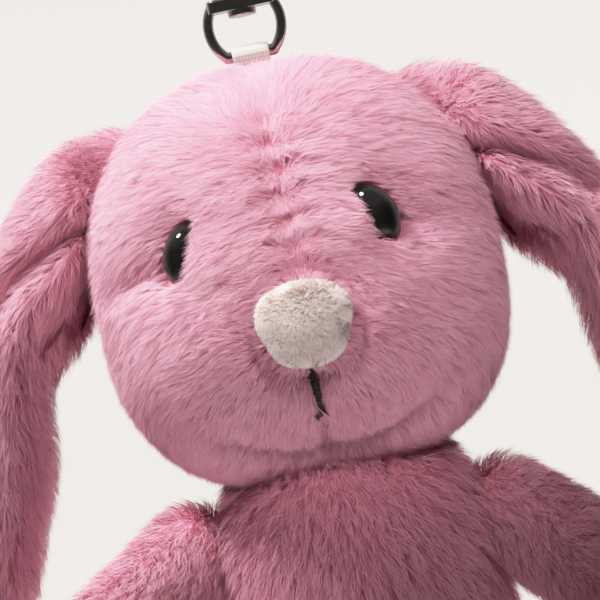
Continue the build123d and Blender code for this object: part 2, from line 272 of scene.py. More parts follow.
class Nodes:
    """Builds the node tree of a new material, or of the world given."""

    def __init__(self, name, world=None):
        self.material = world or bpy.data.materials.new(name)
        self.material.use_nodes = True
        self.tree = self.material.node_tree
        self.shader = self.tree.nodes["Background" if world else "Principled BSDF"]

    def add(self, kind, values=None, **settings):
        """A node with its settings, and the values of its sockets."""
        node = self.tree.nodes.new(kind)
        for key, value in settings.items():
            setattr(node, key, value)
        self.fill(node, values or {})
        return node

    def fill(self, node, values):
        """Puts values on a node's sockets; the space in a name may be an underscore."""
        for key, value in values.items():
            node.inputs[key.replace("_", " ")].default_value = value

    def link(self, output, node, socket):
        self.tree.links.new(output, node.inputs[socket])

    def place(self, kind="Object"):
        return self.add("ShaderNodeTexCoord").outputs[kind]

    def split(self, vector):
        node = self.add("ShaderNodeSeparateXYZ")
        self.link(vector, node, "Vector")
        return node.outputs

    def ramp(self, factor, stops):
        node = self.add("ShaderNodeValToRGB")
        while len(node.color_ramp.elements) < len(stops):
            node.color_ramp.elements.new(0.5)
        for element, (place, colour) in zip(node.color_ramp.elements, stops):
            element.position = place
            element.color = (*colour, 1)
        self.link(factor, node, "Fac")
        return node.outputs["Color"]

    def paint(self, factor, stops):
        """The base colour, as a ramp."""
        self.link(self.ramp(factor, stops), self.shader, "Base Color")

    def noise(self, scale, detail=4):
        place = self.place()
        node = self.add("ShaderNodeTexNoise", {"Scale": scale, "Detail": detail, "Roughness": 0.55})
        self.link(place, node, "Vector")
        return node.outputs["Fac"]

    def mix(self, factor, first, second):
        node = self.add("ShaderNodeMix", data_type="RGBA")
        for socket, output in ((0, factor), (6, first), (7, second)):
            self.link(output, node, socket)
        return node.outputs[2]

    def bump(self, height, strength):
        node = self.add("ShaderNodeBump", {"Strength": strength, "Distance": 0.0002})
        self.link(height, node, "Height")
        self.link(node.outputs["Normal"], self.shader, "Normal")

    def remap(self, value, **limits):
        """A number taken from one range to another; each is 0 to 1 where limits doesn't say."""
        node = self.add("ShaderNodeMapRange", limits)
        self.link(value, node, "Value")
        return node.outputs["Result"]

    def line(self, value, stops):
        """A number that runs through the stops (input from -1 to 1, output) in straight lines."""
        low = min(out for _, out in stops)
        high = max(out for _, out in stops)
        node = self.add("ShaderNodeFloatCurve")
        source = self.remap(value, From_Min=-1)
        curve = node.mapping.curves[0]
        spots = [((place + 1) / 2, (out - low) / (high - low)) for place, out in stops]
        curve.points[0].location = spots[0]
        curve.points[1].location = spots[-1]
        for spot in spots[1:-1]:
            curve.points.new(*spot)
        for point in curve.points:
            point.handle_type = "VECTOR"
        node.mapping.update()
        self.link(source, node, "Value")
        return self.remap(node.outputs["Value"], To_Min=low, To_Max=high)

    def set(self, **values):
        self.fill(self.shader, values)


STRAND_MAP = "OFBake"     # u is a strand's own shade, v runs from its root to its tip


def pile_material(name, dark, light, sheen, roughness):
    """Pile in three colours from root to tip, each strand between a dark and a light set of them; the
    darker roots are painted shade deep in the pile, the paler tips a painted highlight.
    """
    nodes = Nodes(name)
    parts = nodes.split(nodes.add("ShaderNodeUVMap", uv_map=STRAND_MAP).outputs["UV"])
    # Painted shade and highlight: the colour runs darker at the root and paler at the tip.
    along = [0.0, 0.45, 1.0]
    deep = nodes.ramp(parts["Y"], list(zip(along, dark)))
    pale = nodes.ramp(parts["Y"], list(zip(along, light)))
    nodes.link(nodes.mix(parts["X"], deep, pale), nodes.shader, "Base Color")
    nodes.set(Roughness=roughness, Sheen_Weight=sheen, Sheen_Roughness=0.45, Specular_IOR_Level=0.2)
    return nodes.material


def backing_material(name, dark, light):
    """The knitted backing that shows between the strands."""
    nodes = Nodes(name)
    nodes.paint(nodes.noise(900), [(0.35, dark), (0.65, light)])
    nodes.set(Roughness=0.95, Sheen_Weight=0.3)
    return nodes.material


PINK_PILE = pile_material(
    "pink_pile",
    dark=[(0.54, 0.16, 0.25), (0.74, 0.29, 0.41), (0.83, 0.40, 0.52)],
    light=[(0.64, 0.22, 0.32), (0.84, 0.40, 0.52), (0.94, 0.61, 0.70)],
    sheen=0.03,
    roughness=0.55,
)
PINK_BACKING = backing_material("pink_backing", (0.52, 0.16, 0.23), (0.62, 0.21, 0.30))
NOSE_PILE = pile_material(
    "nose_pile",
    dark=[(0.78, 0.61, 0.57), (0.84, 0.69, 0.65), (0.89, 0.77, 0.73)],
    light=[(0.83, 0.68, 0.64), (0.89, 0.77, 0.73), (0.94, 0.85, 0.81)],
    sheen=0.3,
    roughness=0.8,
)
NOSE_BACKING = backing_material("nose_backing", (0.58, 0.42, 0.38), (0.66, 0.49, 0.45))


def metal_material():
    """Plated metal, polished a little unevenly."""
    nodes = Nodes("clasp_nickel")
    nodes.paint(nodes.noise(1400, 6), [(0.3, (0.52, 0.50, 0.49)), (0.7, (0.62, 0.60, 0.59))])
    rough = nodes.ramp(nodes.noise(260, 5), [(0.35, (0.10,) * 3), (0.75, (0.26,) * 3)])
    nodes.link(rough, nodes.shader, "Roughness")
    nodes.set(Metallic=1.0)
    return nodes.material


def plain_material(name, dark, light, scale, roughness, bump=0.0, metallic=0.0, detail=4):
    nodes = Nodes(name)
    spots = nodes.noise(scale, detail)
    nodes.paint(spots, [(0.3, dark), (0.7, light)])
    if bump:
        nodes.bump(spots, bump)
    nodes.set(Roughness=roughness, Metallic=metallic)
    return nodes.material


def tape_material():
    """Woven narrow tape: a fine weave of crossing ribs."""
    nodes = Nodes("cream_tape")
    place = nodes.place()
    weave = nodes.add("ShaderNodeMath", operation="MULTIPLY")
    for socket, (direction, scale) in enumerate((("X", 620), ("Z", 480))):
        wave = nodes.add("ShaderNodeTexWave", {"Scale": scale}, bands_direction=direction)
        nodes.link(place, wave, "Vector")
        nodes.link(wave.outputs["Fac"], weave, socket)
    height = weave.outputs["Value"]
    nodes.paint(height, [(0.0, (0.66, 0.60, 0.54)), (0.7, (0.90, 0.87, 0.82))])
    nodes.bump(height, 0.5)
    nodes.set(Roughness=0.75, Sheen_Weight=0.2)
    return nodes.material


CLASP = metal_material()
TAPE = tape_material()
EYE_BLACKS = (0.004, 0.004, 0.004), (0.012, 0.011, 0.010)
EYE_GLOSS = plain_material("eye_gloss", *EYE_BLACKS, 220, 0.06, detail=3)
BLACKS = (0.008, 0.007, 0.008), (0.035, 0.030, 0.033)
THREAD = plain_material("black_thread", *BLACKS, 2600, 0.6, bump=0.6)
STEELS = (0.32, 0.32, 0.33), (0.45, 0.45, 0.46)
SPRING_STEEL = plain_material("spring_wire", *STEELS, 900, 0.3, metallic=1.0)
WASHER = plain_material("washer_plastic", (0.70, 0.70, 0.68), (0.80, 0.80, 0.78), 300, 0.45)
POUCH = plain_material("pouch_cloth", (0.62, 0.60, 0.55), (0.78, 0.76, 0.71), 420, 0.9, bump=0.5)
SATIN = plain_material("label_satin", (0.82, 0.80, 0.78), (0.93, 0.92, 0.90), 1500, 0.5, bump=0.2)

# ------------ pile


def scatter(skin, count, rng, wanted=None, side=1):
    """Random places on a skin with their normals, mirrored to the side.

    wanted gives each place's chance to stay.
    """
    points, normals, triangles = read_surface(skin.data)
    corners = mirrored(points, side)[triangles]
    area = lengths(np.cross(corners[:, 1] - corners[:, 0], corners[:, 2] - corners[:, 0]))
    if wanted is not None:
        area = area * wanted(corners.mean(axis=1))
    chosen = rng.choice(len(triangles), count, p=area / area.sum())
    a, b = rng.random(count), rng.random(count)
    flip = a + b > 1
    a[flip], b[flip] = 1 - a[flip], 1 - b[flip]
    share = np.stack([1 - a - b, a, b], axis=1)[:, :, None]
    roots = (corners[chosen] * share).sum(axis=1)
    outward = unit((mirrored(normals, side)[triangles[chosen]] * share).sum(axis=1))
    return roots, outward


def nearest_lock(roots, spacing, rng):
    """Which lock each strand belongs to; locks are about spacing apart."""
    count = max(2, int(len(roots) * 0.5))
    sample = roots[rng.choice(len(roots), count, replace=False)]
    cells = np.floor(sample / spacing + rng.random(3)).astype(int)
    centres = sample[np.unique(cells, axis=0, return_index=True)[1]]
    return nearest_of(centres, roots)


def gather(levels, locks, pull):
    """Draws the strands of each lock together towards their tips."""
    count = np.bincount(locks)
    steps = len(levels) - 1
    for step in range(1, steps + 1):
        share = pull * (step / steps) ** 1.3
        middle = np.stack([np.bincount(locks, levels[step][:, axis]) for axis in range(3)], axis=1)
        middle /= np.maximum(count, 1)[:, None]
        levels[step] += (middle[locks] - levels[step]) * share


def strand_mesh(name, levels, sides, normals, width, shade):
    """Flat tapering strands of two faces; levels are their points at root, middle and tip."""
    count = len(shade)
    points = np.empty((count, 5, 3), np.float32)
    soft = np.empty((count, 5, 3), np.float32)
    for step, taper in enumerate(np.interp([0, 0.5], [0, 0.35, 1], [0.75, 1.0, 0.45])):
        offset = sides[step] * (width * taper / 2)[:, None]
        points[:, 2 * step] = to_frame(levels[step] - offset)
        points[:, 2 * step + 1] = to_frame(levels[step] + offset)
        soft[:, 2 * step] = soft[:, 2 * step + 1] = normals[step]
    points[:, -1] = to_frame(levels[-1])
    soft[:, -1] = normals[-1]
    corners = np.array([0, 1, 3, 2, 2, 3, 4])
    strand = np.arange(count)[:, None]
    loops = (corners + strand * 5).astype(np.int32).ravel()
    loop_starts = (np.array([0, 4]) + strand * len(corners)).astype(np.int32).ravel()
    coordinates = np.empty((count, len(corners), 2), np.float32)
    coordinates[:, :, 0] = np.clip(shade, 0.02, 0.98)[:, None]
    coordinates[:, :, 1] = 0.01 + 0.98 * (corners // 2 / 2).astype(np.float32)

    mesh = bpy.data.meshes.new(name)
    mesh.vertices.add(count * 5)
    mesh.vertices.foreach_set("co", points.ravel())
    mesh.loops.add(len(loops))
    mesh.loops.foreach_set("vertex_index", loops)
    mesh.polygons.add(len(loop_starts))
    mesh.polygons.foreach_set("loop_start", loop_starts)
    mesh.polygons.foreach_set("use_smooth", np.ones(len(loop_starts), bool))
    mesh.update(calc_edges=True)
    layer = mesh.uv_layers.new(name=STRAND_MAP)
    layer.uv.foreach_set("vector", coordinates.ravel())
    layer = mesh.attributes.new("custom_normal", "FLOAT_VECTOR", "POINT")
    layer.data.foreach_set("vector", soft.ravel())
    return mesh


ROOT_DEPTH = 0.4          # how far under the skin a strand starts
BIG_LOCK = 2.6            # locks gather into bigger ones, this many times as wide
CUT, CUTS = 0.78, 7       # a strand in the way is cut to this share of its length, at most so often


def grow(
    roots, outward, flow, length, rng, lift=(58, 20), turn=(9, 11), lock=0.9, pull=0.22, shorten=None
):
    """Strands from their roots: three levels of points, root to tip, and each strand's own shade.

    flow is the direction each lies in, length is in millimetres, lift the angle from the skin at
    root and tip, turn the wander in degrees of a lock and of one strand, lock the locks' spacing,
    pull how far a lock's tips close up, and shorten says which strands still have to be cut.
    """
    count = len(roots)
    lie = laid(flow, outward)
    small = nearest_lock(roots, lock, rng)
    big = nearest_lock(roots, lock * BIG_LOCK, rng)
    lock_turn = rng.normal(0, math.radians(turn[0]), small.max() + 1)[small]
    lock_turn += rng.normal(0, math.radians(turn[0]) * 0.6, big.max() + 1)[big]
    lie = turned(lie, outward, lock_turn + rng.normal(0, math.radians(turn[1]), count))
    lock_lift = rng.normal(0, 4, small.max() + 1)[small] + rng.normal(0, 4, count)
    own = length * np.clip(rng.normal(1, 0.15, count), 0.55, 1.4)
    bend = rng.normal(0, math.radians(16), count)

    def build(own_length):
        levels = [roots - outward * ROOT_DEPTH]
        for share in (0, 1):
            angle = np.radians(lift[0] + (lift[1] - lift[0]) * share + lock_lift)[:, None]
            ahead = turned(lie, outward, bend * share) * np.cos(angle) + outward * np.sin(angle)
            levels.append(levels[-1] + ahead * (own_length / 2)[:, None])
        return levels

    if shorten is not None:
        for _ in range(CUTS):
            own = own * np.where(shorten(build(own)), CUT, 1.0)
    levels = build(own)
    gather(levels, small, pull)
    gather(levels, big, pull * 0.35)
    shade = 0.5 + 0.13 * rng.normal(size=small.max() + 1)[small] + 0.2 * rng.normal(size=count)
    return levels, shade


SOFTNESS = 0.5            # how much of a strand's shading follows the skin under it
FINE, COARSE = 0.085, 0.09  # how wide a strand is on the head and ears, and elsewhere


def strand_sides(levels, outward, rng, roll=35):
    """The direction each strand is wide in, and its softened normal, at each level but the tip."""
    sides, normals = [], []
    angle = rng.normal(0, math.radians(roll), len(outward))
    for low, high in zip(levels, levels[1:]):
        along = unit(high - low)
        across = unit(np.cross(along, outward))
        sides.append(turned(across, along, angle))
        normals.append(unit(SOFTNESS * outward + (1 - SOFTNESS) * np.cross(sides[-1], along)))
    return sides, normals


def cover(
    name, levels, outward, shade, rng, body, width=COARSE, pile=PINK_PILE, parts=None
):
    """Makes the strands' pieces. parts names each piece and says which strands are its own."""
    sides, normals = strand_sides(levels, outward, rng)
    wide = width * np.clip(rng.normal(1, 0.2, len(outward)), 0.5, 1.6)
    for piece, chosen in (parts or {name: np.ones(len(outward), bool)}).items():
        own = [[level[chosen] for level in group] for group in (levels, sides, normals)]
        mesh = strand_mesh(piece, *own, wide[chosen], shade[chosen])
        new_object(piece, mesh, pile, body)


# ------------ skins


def ball_chain_skin(
    name, balls, body, smooth, voxel=1.3, shape=None, material=PINK_BACKING
):
    """A sewn skin over stuffing: balls merged into one form, smoothed and shaped."""
    made = bmesh.new()
    for middle, radius in balls:
        place = Matrix.Translation(Vector(to_frame(middle)))
        bmesh.ops.create_icosphere(made, subdivisions=4, radius=radius * MM, matrix=place)
    mesh = bpy.data.meshes.new(name)
    made.to_mesh(mesh)
    made.free()
    obj = new_object(name, mesh, material, body)
    remesh = obj.modifiers.new("merge", "REMESH")
    remesh.mode = "VOXEL"
    remesh.voxel_size = voxel * MM
    relax = obj.modifiers.new("relax", "SMOOTH")
    relax.iterations = smooth
    relax.factor = 0.5
    mesh = applied(obj)
    if shape is not None:
        move_points(mesh, shape(*read_surface(mesh)[:2]))
    mesh.shade_smooth()
    return obj


def chain(start, end, start_r, end_r, count=9):
    """Balls from start to end whose radius changes evenly."""
    shares = np.linspace(0, 1, count)
    return [(start + (end - start) * share, start_r + (end_r - start_r) * share) for share in shares]


# ------------ head

HEAD_SIDE = HEAD_R - 2.0
HEAD_TOP = HEAD_R - 0.6
HEAD_BOTTOM = HEAD_R - 1.3
HEAD_FRONT = HEAD_R - 3.8
HEAD_BACK = HEAD_R - 2.5


def eye_axis(side):
    """The direction one eye looks in."""
    level = math.cos(EYE_RISE)
    turn = EYE_TURN[side]
    return np.array([side * math.sin(turn) * level, -math.cos(turn) * level, math.sin(EYE_RISE)])


EYE_DOME_R = 5.8
EYE_NARROW = 0.72         # an eye is an oval, this much narrower across than along
EYES = {side: eye_axis(side) * (HEAD_R - 4.6) for side in (-1, 1)}
# For each eye, seen from the front: the way to the pile that hangs over it (x, z), and how far past the
# eye's middle that pile comes.
EYE_VEILS = {-1: ((0.91, -0.41), -1.3), 1: ((-0.94, -0.33), -1.9)}


def eye_veil(side):
    """The direction in an eye's own plane that its pile hangs over it from."""
    (x, z), _ = EYE_VEILS[side]
    axis = eye_axis(side)
    towards = np.array([x, 0, z])
    return unit(towards - axis * (towards @ axis))


def in_eye_space(points, side):
    """Points from an eye's middle, stretched so that the oval eye is a ball."""
    veil = eye_veil(side)
    away = points - EYES[side]
    return away + veil * ((away @ veil) * (1 / EYE_NARROW - 1))[:, None]


def nose_distance(points):
    """Distance outside the nose pad's outline, seen from the front."""
    x, z = (points[:, 0] - NOSE[0]) / 7.6, (points[:, 2] - NOSE[2]) / 6.9
    return (np.hypot(x, z) - 1) * 7.2


def chin_line(x, z):
    """How far above the chin's fold a place on the face is."""
    return z + 26.8 - 0.018 * x * x


def head_shape(directions):
    """The head's skin in the directions given: a full-cheeked ball with a muzzle, sockets and seams."""
    x, y, z = directions.T
    depth = np.where(y < 0, HEAD_FRONT, HEAD_BACK)
    height = np.where(z > 0, HEAD_TOP, HEAD_BOTTOM)
    power = 2.25 + 0.52 * smoothstep(0.25, -0.45, z)
    reach = (abs(x) / HEAD_SIDE) ** power + (abs(y) / depth) ** power + (abs(z) / height) ** power
    points = directions * (reach ** (-1 / power))[:, None]
    x, y, z = points.T
    front = smoothstep(-2, -18, y)
    muzzle = 5.6 * np.exp(-((x / 15) ** 2) - ((z + 10) / np.where(z > -10, 12, 10)) ** 2)
    muzzle -= 1.8 * smoothstep(-12, -27, z)
    muzzle -= 1.5 * bell(nose_distance(points) - 0.6, 1.8)
    chin_fold = 1.2 * bell(chin_line(x, z), 1.5) * smoothstep(20, 13, abs(x))
    cleft = 1.4 * bell(x, 1.8) * smoothstep(-13, -16, z) * smoothstep(-29, -25, z)
    seam = 0.85 * bell(x, 1.6) * smoothstep(-4, 0, z)
    points[:, 1] -= front * (muzzle - chin_fold - cleft - seam)
    for side in (-1, 1):
        axis = eye_axis(side)
        away = points - axis * (points @ axis)[:, None]
        outer = np.array([side, 0.35, -0.25])
        temple = away - unit(outer - axis * (outer @ axis)) * 9.0
        socket = 1.7 * bell(lengths(away), 6.5)
        socket += 1.5 * bell(lengths(temple * (0.6, 0.6, 1.6)), 4.5)
        ridge = away - eye_veil(side) * 6.5
        socket -= 1.5 * bell(lengths(ridge), 3.6)
        points -= axis * (socket * smoothstep(0, 10, points @ axis))[:, None]
        ear_pit = (side * 28.0, -7.0, 23.5)
        pit = 2.6 * bell(lengths(points - ear_pit), 3.4)
        points -= directions * pit[:, None]
    return points


def make_head_skin():
    made = bmesh.new()
    bmesh.ops.create_icosphere(made, subdivisions=6, radius=1)
    mesh = bpy.data.meshes.new("head_skin")
    made.to_mesh(mesh)
    made.free()
    directions = unit(np.array([v.co for v in mesh.vertices], float))
    shaped = head_shape(directions)
    shaped += directions * (0.25 * waves(shaped, 14, 3))[:, None]
    move_points(mesh, shaped)
    mesh.shade_smooth()
    obj = new_object("head_skin", mesh, PINK_BACKING, "head")
    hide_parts("head_cover", "head_filling")
    return obj


def head_flow(points):
    """How the head's pile lies: out from the seam, round the nose, down the cheeks, over the crown."""
    x, y, z = points.T
    middle = 0.7 * np.sin(z * 0.9) + 0.5 * np.sin(z * 2.3 + 1)
    low = smoothstep(-9, -25, z)
    out = (x - middle) / np.sqrt((x - middle) ** 2 + 1.6 + 40 * low)
    front = smoothstep(12, -8, y)
    tuft = 0.9 * np.sin(z * 1.55 + 0.6) * bell(x, 3.2)
    flow = rows(out, 0.3, -0.26 - 0.012 * np.abs(x) + tuft)
    rise = z - NOSE[2]
    round_nose = rows(x * 1.3, 2.0, np.where(rise > 0, rise * 0.35, rise))
    near = np.exp(-(((x / 15) ** 2) + (rise / 13) ** 2))
    flow = flow * (1 - near)[:, None] + unit(round_nose) * near[:, None]
    low = low[:, None]
    down = rows(0.45 * x / np.sqrt(x * x + 60), 0.25, -1.0)
    flow = flow * (1 - low) + down * low
    crown = (smoothstep(21, 26, z) * bell(x, 11))[:, None]
    back_up = rows(out * 0.3, 0.75, 0.5)
    flow = flow * (1 - crown) + back_up * crown
    behind = rows(x * 0.02, 0.1, -1.0)
    return flow * front[:, None] + behind * (1 - front)[:, None]


def head_length(points):
    """The length of the head's pile: short round the nose and mouth, and shorter at seams and eyes."""
    x, y, z = points.T
    length = np.full(len(points), 4.7)
    near_nose = np.where(y < -10, nose_distance(points), 30)
    length *= 0.55 + 0.45 * smoothstep(0, 11, near_nose)
    mouth = bell(x + 0.95, 1.5) * smoothstep(-14, -16, z) * smoothstep(-27, -24, z) * (y < 0)
    length *= 1 - 0.55 * mouth
    fold = bell(chin_line(x, z), 1.6) * smoothstep(20, 13, abs(x)) * (y < 0)
    length *= 1 - 0.25 * fold
    seam = bell(x, 2.2) * smoothstep(-2, 1, z) * (y < 0)
    length *= 1 - 0.15 * seam
    for side in (-1, 1):
        away = in_eye_space(points, side)
        close = bell(np.maximum(lengths(away) - EYE_DOME_R, 0), 3.5)
        inner = smoothstep(-0.1, 0.6, unit(away) @ eye_veil(side))
        length *= 1 - close * (0.4 - 0.65 * inner)
    return length


def over_eyes(levels):
    """True for strands whose tip covers more of an eye than its edge."""
    covered = np.zeros(len(levels[0]), bool)
    for side in (-1, 1):
        axis = eye_axis(side)
        past = EYE_VEILS[side][1]
        for level in levels[1:]:
            away = in_eye_space(level, side)
            across = lengths(away - axis * (away @ axis)[:, None])
            unveiled = (level - EYES[side]) @ eye_veil(side) < -past
            covered |= (across < EYE_DOME_R - 0.35) & unveiled & (away @ axis > -6)
    return covered


def push_out(levels, side):
    """Keeps strands outside a hard eye."""
    margin = 0.25
    veil = eye_veil(side)
    for level in levels[1:]:
        away = in_eye_space(level, side)
        distance = np.linalg.norm(away, axis=1, keepdims=True)
        push = away / np.maximum(distance, 1e-6) * np.maximum(EYE_DOME_R + margin - distance, 0)
        level += push - veil * ((push @ veil) * (1 - EYE_NARROW))[:, None]


def make_head_pile(skin, count):
    rng = np.random.default_rng(11)

    def wanted(points):
        keep = 0.55 + 0.45 * smoothstep(12, -6, points[:, 1])
        keep = keep * ~((points[:, 1] < -10) & (nose_distance(points) < -0.8))
        for side in (-1, 1):
            keep = keep * (lengths(in_eye_space(points, side)) > EYE_DOME_R + 0.1)
        return keep

    roots, outward = scatter(skin, count, rng, wanted)
    flow = wandering(head_flow(roots), outward, 16 * waves(roots, 22, 5) + 9 * waves(roots, 8, 6))
    levels, shade = grow(roots, outward, flow, head_length(roots), rng, shorten=over_eyes)
    for side in (-1, 1):
        push_out(levels, side)
    # Painted shade: the pile's colour is made darker towards the top of the head.
    shade += 0.12 * waves(roots, 9, 8) - 0.35 * smoothstep(14, 28, roots[:, 2])
    face = roots[:, 1] < -4
    right = roots[:, 0] > 0
    upper = roots[:, 2] > 0
    areas = {"forehead": face & upper, "cheek": face & ~upper}
    areas.update({"back": ~face & upper, "nape": ~face & ~upper})
    parts = {}
    for area, here in areas.items():
        parts[f"head_pile_{area}_left"] = here & ~right
        parts[f"head_pile_{area}_right"] = here & right
    cover("head_pile", levels, outward, shade, rng, "head", FINE, parts=parts)


def lathe(name, profile, place, material):
    """A turned piece of the head; profile is (radius, height) in millimetres along the place's z."""
    steps = 64
    points = [place @ (Vector(point) * MM) for point in revolved(profile, steps)]
    mesh = mesh_from(name, points, ring_faces(len(profile), steps))
    outward_faces(mesh, weld=True)
    return new_object(name, mesh, material, "head")


def make_eyes():
    """Safety eyes: a dome with a thin rim, on a ribbed shank."""
    for name, side in SIDES.items():
        axis = Vector(eye_axis(side))
        veil = Vector(eye_veil(side))
        turn = Matrix((veil, axis.cross(veil), axis)).transposed().to_4x4()
        middle = Matrix.Translation(Vector(to_frame(EYES[side])))
        place = middle @ turn @ Matrix.Diagonal((EYE_NARROW, 1, 1, 1))
        angles = np.linspace(0, math.radians(97), 40)
        dome = [(EYE_DOME_R * math.sin(a), EYE_DOME_R * math.cos(a)) for a in angles]
        rim = [(EYE_DOME_R + 0.1, -1.0), (EYE_DOME_R - 0.3, -1.4), (1.6, -1.4)]
        shank = []
        for rib in range(5):
            top = -1.8 - rib * 1.1
            shank += [(1.1, top), (1.35, top - 0.35), (1.1, top - 0.7)]
        shank += [(0.9, -7.4), (0.0, -7.6)]
        eye = lathe(f"{name}_eye_dome", dome + rim + shank, place, EYE_GLOSS)
        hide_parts(f"{name}_eye")
        ring = [(1.5, -5.6), (6.0, -5.9), (6.2, -6.2), (6.0, -6.5), (1.5, -6.8), (1.5, -5.6)]
        washer = lathe(f"{name}_lock_washer", ring, middle @ turn, WASHER)
        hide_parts(f"{name}_eye_washer")


def make_nose(count):
    """The nose pad: a soft rounded shield with a very short pile on the part that shows."""
    lobes = [((sx * 2.5, 0, 1.2), 4.7) for sx in (-1, 1)]
    lobes += [((0, -0.1, 1.5), 4.9), ((0, -0.5, 0.0), 5.1)]
    lobes += [((sx * 1.3, 0.3, -1.6), 4.8) for sx in (-1, 1)]
    balls = [(NOSE + middle, radius) for middle, radius in lobes]

    def flatten(points, normals):
        from_nose = points - NOSE
        from_nose[:, 1] *= 0.86
        lump = 0.12 * waves(points, 5, 21) + 0.1
        return NOSE + from_nose + normals * lump[:, None]

    skin = ball_chain_skin("nose_skin", balls, "head", 60, 0.5, flatten, NOSE_BACKING)
    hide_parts("nose_pad")
    rng = np.random.default_rng(23)
    roots, outward = scatter(skin, count, rng, lambda p: (p[:, 1] < NOSE[1] + 3.5) * 1.0)
    swirl = [waves(roots, 4, seed) for seed in (31, 32, 33)]
    flow = rows(roots[:, 0] * 0.2 + swirl[0] * 0.8, swirl[1] * 0.8 - 0.2, swirl[2] * 0.8 - 1.2)
    levels, shade = grow(
        roots, outward, flow, 1.2, rng, lift=(78, 54), turn=(22, 32), lock=0.5, pull=0.12
    )
    shade += 0.15 * waves(roots, 2.5, 34)
    cover("nose_pile", levels, outward, shade, rng, "head", 0.11, NOSE_PILE)


def tube(name, lines, radius, material):
    """Threads on the head along lines of points, as one piece."""
    curve = bpy.data.curves.new(name, "CURVE")
    curve.dimensions = "3D"
    curve.bevel_depth = radius * MM
    curve.bevel_resolution = 2
    curve.resolution_u = 6
    for line in lines:
        spline = curve.splines.new("NURBS")
        spline.points.add(len(line) - 1)
        for point, place in zip(spline.points, to_frame(line)):
            point.co = (*place, 1)
        spline.order_u = 3
        spline.use_endpoint_u = True
    source = in_scene(name + "_source", curve)
    depsgraph = bpy.context.evaluated_depsgraph_get()
    mesh = bpy.data.meshes.new_from_object(source.evaluated_get(depsgraph))
    bpy.data.objects.remove(source)
    mesh.name = name
    return new_object(name, mesh, material, "head")


def make_mouth(skin):
    """The stitched mouth: slanted satin stitches down the cleft, and two short legs at its foot."""
    rng = np.random.default_rng(41)
    points = read_surface(skin.data)[0]
    points = points[points[:, 1] < -10]
    stitches = []

    def stitched(start, end, count, half, proud):
        for index in range(count):
            share = (index + 0.5) / count
            x = start[0] + (end[0] - start[0]) * share + rng.normal(0, 0.06)
            z = start[1] + (end[1] - start[1]) * share
            slant = rng.normal(0.45, 0.12)
            for run, fall, lift in ((-1, -1, 0.3), (-0.4, -0.5, 1), (0.4, 0.5, 1), (1, 1, 0.3)):
                stitches.append((x + half * run, -proud * lift, z - slant * fall))

    stitched((-1.0, -15.4), (-0.85, -17.0), 5, 0.28, 1.8)
    stitched((-0.85, -17.0), (-0.95, -20.3), 12, 0.55, 1.9)
    stitched((-0.95, -20.3), (-0.75, -22.5), 7, 0.38, 1.9)
    stitched((-0.75, -22.5), (0.7, -24.0), 6, 0.3, 1.8)
    stitched((-1.0, -22.9), (-2.9, -24.3), 7, 0.26, 1.7)
    places = np.array(stitches)
    flat = (1, 0, 1)
    places[:, 1] += points[nearest_of(points * flat, places * flat), 1]
    thread = tube("mouth_thread", places.reshape(-1, 4, 3), 0.15, THREAD)
    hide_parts("mouth_stitch")


# ------------ ears

# Stations along the ear: upper outer edge (x, z), lower inner edge (x, z), half thickness, how strongly
# it is folded, and where across it the front flap ends (-1 outer edge, 1 inner edge).
EAR_STATIONS = np.array([
    (17.0, 25.5, 22.0, 13.0, 3.4, 1.0, 0.9),
    (25.0, 28.3, 28.5, 10.0, 4.0, 1.0, 0.8),
    (33.5, 27.2, 33.5, 4.0, 4.2, 1.0, 0.5),
    (41.0, 21.3, 38.3, -2.8, 3.9, 1.0, 0.35),
    (47.5, 13.4, 44.8, -8.5, 3.6, 1.0, 0.25),
    (54.0, 2.5, 46.6, -14.5, 3.4, 0.9, 0.3),
    (61.5, -11.5, 47.8, -23.5, 3.2, 0.6, 0.45),
    (68.0, -26.5, 52.3, -35.5, 2.9, 0.25, 0.55),
    (71.5, -41.0, 56.5, -46.3, 2.6, 0.0, 0.6),
    (70.5, -53.0, 60.5, -55.5, 2.2, 0.0, 0.6),
    (67.0, -60.5, 64.5, -61.2, 1.2, 0.0, 0.6),
])
# The crease under the ear's top fold, and the hollow beside the head, as lines of (x, z).
EAR_CREASE = [(25.5, 23.0), (28.5, 18.5), (31.5, 15.8), (39.7, 12.2), (45.7, 8.4), (50.0, 3.0)]
EAR_HOLLOW = [(31.8, 11.0), (34.5, 4.5), (36.5, -1.0)]


def near_line(points, line, reach):
    """1 on a line of (x, z) places, falling to nothing past reach from it."""
    places = points[:, [0, 2]]
    nearest = np.full(len(points), np.inf)
    for start, end in zip(np.array(line[:-1]), np.array(line[1:])):
        run = end - start
        share = np.clip((places - start) @ run / (run @ run), 0, 1)
        nearest = np.minimum(nearest, lengths(places - start - share[:, None] * run))
    return bell(nearest, reach)


def spline_through(knots, count):
    """Knots joined smoothly, Catmull-Rom, at count even steps."""
    padded = np.vstack([2 * knots[0] - knots[1], knots, 2 * knots[-1] - knots[-2]])
    places = np.linspace(0, len(knots) - 1 - 1e-6, count)
    index = places.astype(int)
    t = (places - index)[:, None]
    p0, p1, p2, p3 = (padded[index + k] for k in range(4))
    square = (2 * p0 - 5 * p1 + 4 * p2 - p3) * t**2
    cube = (3 * p1 - p0 - 3 * p2 + p3) * t**3
    return 0.5 * (2 * p1 + (p2 - p0) * t + square + cube)


